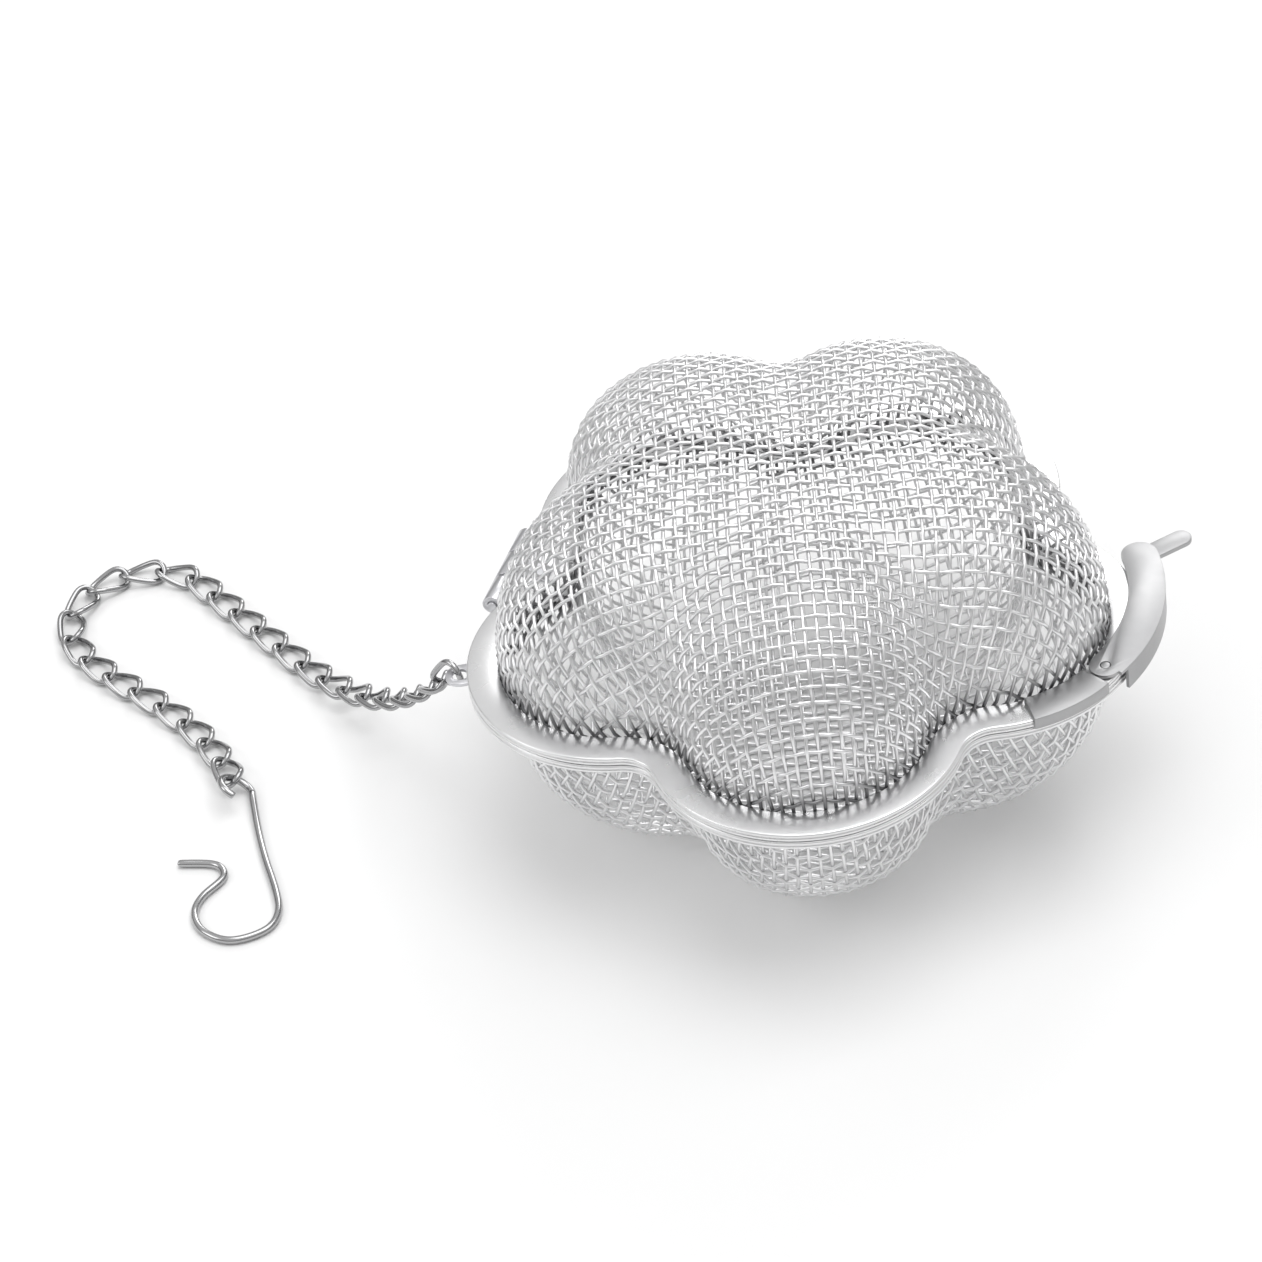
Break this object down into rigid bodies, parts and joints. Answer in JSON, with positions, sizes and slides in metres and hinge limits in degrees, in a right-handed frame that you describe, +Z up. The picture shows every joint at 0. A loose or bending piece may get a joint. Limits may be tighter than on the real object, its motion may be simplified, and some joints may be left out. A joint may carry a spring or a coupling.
{
  "type": "tea infuser",
  "caption": "Flower-shaped wire-mesh tea infuser: hinged halves with folded rims, a swing latch, and a curb chain with a hook.",
  "frame": {"origin": "on the surface that the lower half stands on, under the flower's centre", "axes": "+Z up, +X from the flower centre towards the latch, so the hinge is on the -X side"},
  "size_m": [0.1152, 0.0671, 0.0371],
  "materials": {
    "mesh": "woven stainless wire, bright",
    "rim": "satin stainless strip, fine brushing",
    "hinge": "plain stainless sheet",
    "latch": "satin stainless sheet",
    "chain": "bright plated wire",
    "hook": "bright drawn stainless wire"
  },
  "bodies": {
    "lower_half": {"lower_rim": "rim", "lower_basket": "mesh", "hinge_base_leaf": "hinge", "hinge_pin": "hinge", "chain_lug": "hinge"},
    "lid": {"upper_rim": "rim", "upper_basket": "mesh", "hinge_lid_leaf": "hinge", "catch_sleeve": "latch", "latch_rivet": "latch"},
    "latch": {"latch_lever": "latch", "thumb_tab": "latch"},
    "link_01": {"chain_link_01": "chain"},
    "link_02": {"chain_link_02": "chain"},
    "link_03": {"chain_link_03": "chain"},
    "link_04": {"chain_link_04": "chain"},
    "link_05": {"chain_link_05": "chain"},
    "link_06": {"chain_link_06": "chain"},
    "link_07": {"chain_link_07": "chain"},
    "link_08": {"chain_link_08": "chain"},
    "link_09": {"chain_link_09": "chain"},
    "link_10": {"chain_link_10": "chain"},
    "link_11": {"chain_link_11": "chain"},
    "link_12": {"chain_link_12": "chain"},
    "link_13": {"chain_link_13": "chain"},
    "link_14": {"chain_link_14": "chain"},
    "link_15": {"chain_link_15": "chain"},
    "link_16": {"chain_link_16": "chain"},
    "link_17": {"chain_link_17": "chain"},
    "link_18": {"chain_link_18": "chain"},
    "link_19": {"chain_link_19": "chain"},
    "link_20": {"chain_link_20": "chain"},
    "link_21": {"chain_link_21": "chain"},
    "link_22": {"chain_link_22": "chain"},
    "link_23": {"chain_link_23": "chain"},
    "link_24": {"chain_link_24": "chain"},
    "link_25": {"chain_link_25": "chain"},
    "link_26": {"chain_link_26": "chain"},
    "link_27": {"chain_link_27": "chain"},
    "hook": {"hook": "hook"}
  },
  "joints": [
    {"name": "lid_hinge", "type": "hinge", "parent": "lower_half", "child": "lid", "pos_m": [-0.0289, 0, 0.01855], "axis": [0, -1, 0], "range_deg": [0, 110]},
    {"name": "latch_swing", "type": "hinge", "parent": "lid", "child": "latch", "pos_m": [0.02996, -0.00422, 0.0194], "axis": [0, 0, -1], "range_deg": [0, 40]},
    {"name": "link_01_swing", "type": "hinge", "parent": "lower_half", "child": "link_01", "pos_m": [-0.02974, -0.0137, 0.01778], "axis": [0.5446, 0.8387, 0], "range_deg": [-10, 10]},
    {"name": "link_02_swing", "type": "hinge", "parent": "link_01", "child": "link_02", "pos_m": [-0.03187, -0.01232, 0.01488], "axis": [-0.5972, 0.3878, 0.7021], "range_deg": [-12, 12]},
    {"name": "link_03_swing", "type": "hinge", "parent": "link_02", "child": "link_03", "pos_m": [-0.03413, -0.01085, 0.01214], "axis": [-0.5446, -0.8387, 0], "range_deg": [-10, 10]},
    {"name": "link_04_swing", "type": "hinge", "parent": "link_03", "child": "link_04", "pos_m": [-0.03655, -0.00928, 0.00959], "axis": [0.506, -0.3286, -0.7975], "range_deg": [-12, 12]},
    {"name": "link_05_swing", "type": "hinge", "parent": "link_04", "child": "link_05", "pos_m": [-0.03913, -0.0076, 0.00726], "axis": [0.5446, 0.8387, 0], "range_deg": [-10, 10]},
    {"name": "link_06_swing", "type": "hinge", "parent": "link_05", "child": "link_06", "pos_m": [-0.04186, -0.00583, 0.00522], "axis": [-0.3745, 0.2432, 0.8947], "range_deg": [-12, 12]},
    {"name": "link_07_swing", "type": "hinge", "parent": "link_06", "child": "link_07", "pos_m": [-0.04475, -0.00395, 0.0035], "axis": [-0.5446, -0.8387, 0], "range_deg": [-10, 10]},
    {"name": "link_08_swing", "type": "hinge", "parent": "link_07", "child": "link_08", "pos_m": [-0.04778, -0.00198, 0.00216], "axis": [0.1973, -0.1281, -0.9719], "range_deg": [-12, 12]},
    {"name": "link_09_swing", "type": "hinge", "parent": "link_08", "child": "link_09", "pos_m": [-0.05092, 0.00005, 0.00125], "axis": [0.5446, 0.8387, 0], "range_deg": [-10, 10]},
    {"name": "link_10_swing", "type": "hinge", "parent": "link_09", "child": "link_10", "pos_m": [-0.05412, 0.00214, 0.00082], "axis": [0, 0, 1], "range_deg": [-12, 12]},
    {"name": "link_11_swing", "type": "hinge", "parent": "link_10", "child": "link_11", "pos_m": [-0.05735, 0.00423, 0.00082], "axis": [-0.5446, -0.8387, 0], "range_deg": [-10, 10]},
    {"name": "link_12_swing", "type": "hinge", "parent": "link_11", "child": "link_12", "pos_m": [-0.06058, 0.00633, 0.00082], "axis": [0, 0, -1], "range_deg": [-12, 12]},
    {"name": "link_13_swing", "type": "hinge", "parent": "link_12", "child": "link_13", "pos_m": [-0.06381, 0.00843, 0.00082], "axis": [0.5446, 0.8387, 0], "range_deg": [-10, 10]},
    {"name": "link_14_swing", "type": "hinge", "parent": "link_13", "child": "link_14", "pos_m": [-0.06704, 0.01052, 0.00082], "axis": [0, 0, 1], "range_deg": [-12, 12]},
    {"name": "link_15_swing", "type": "hinge", "parent": "link_14", "child": "link_15", "pos_m": [-0.07027, 0.01262, 0.00082], "axis": [-0.1219, -0.9925, 0], "range_deg": [-10, 10]},
    {"name": "link_16_swing", "type": "hinge", "parent": "link_15", "child": "link_16", "pos_m": [-0.07409, 0.01309, 0.00082], "axis": [0, 0, -1], "range_deg": [-12, 12]},
    {"name": "link_17_swing", "type": "hinge", "parent": "link_16", "child": "link_17", "pos_m": [-0.07769, 0.01171, 0.00082], "axis": [-0.7771, 0.6293, 0], "range_deg": [-10, 10]},
    {"name": "link_18_swing", "type": "hinge", "parent": "link_17", "child": "link_18", "pos_m": [-0.08011, 0.00872, 0.00082], "axis": [0, 0, 1], "range_deg": [-12, 12]},
    {"name": "link_19_swing", "type": "hinge", "parent": "link_18", "child": "link_19", "pos_m": [-0.08058, 0.0049, 0.00082], "axis": [0.9205, 0.3907, 0], "range_deg": [-10, 10]},
    {"name": "link_20_swing", "type": "hinge", "parent": "link_19", "child": "link_20", "pos_m": [-0.07907, 0.00135, 0.00082], "axis": [0, 0, -1], "range_deg": [-12, 12]},
    {"name": "link_21_swing", "type": "hinge", "parent": "link_20", "child": "link_21", "pos_m": [-0.07626, -0.00127, 0.00082], "axis": [-0.4848, -0.8746, 0], "range_deg": [-10, 10]},
    {"name": "link_22_swing", "type": "hinge", "parent": "link_21", "child": "link_22", "pos_m": [-0.07289, -0.00314, 0.00082], "axis": [0, 0, 1], "range_deg": [-12, 12]},
    {"name": "link_23_swing", "type": "hinge", "parent": "link_22", "child": "link_23", "pos_m": [-0.0694, -0.00477, 0.00082], "axis": [0.4226, 0.9063, 0], "range_deg": [-10, 10]},
    {"name": "link_24_swing", "type": "hinge", "parent": "link_23", "child": "link_24", "pos_m": [-0.06591, -0.00639, 0.00082], "axis": [0, 0, -1], "range_deg": [-12, 12]},
    {"name": "link_25_swing", "type": "hinge", "parent": "link_24", "child": "link_25", "pos_m": [-0.06254, -0.00826, 0.00082], "axis": [-0.5736, -0.8192, 0], "range_deg": [-10, 10]},
    {"name": "link_26_swing", "type": "hinge", "parent": "link_25", "child": "link_26", "pos_m": [-0.05939, -0.01047, 0.00082], "axis": [-0.051, 0.0476, 0.9976], "range_deg": [-12, 12]},
    {"name": "link_27_swing", "type": "hinge", "parent": "link_26", "child": "link_27", "pos_m": [-0.05658, -0.01309, 0.00109], "axis": [0.7771, 0.6293, 0], "range_deg": [-10, 10]},
    {"name": "hook_swing", "type": "hinge", "parent": "link_27", "child": "hook", "pos_m": [-0.05418, -0.01605, 0.00162], "axis": [0, 0, 1], "range_deg": [-12, 12]}
  ]
}
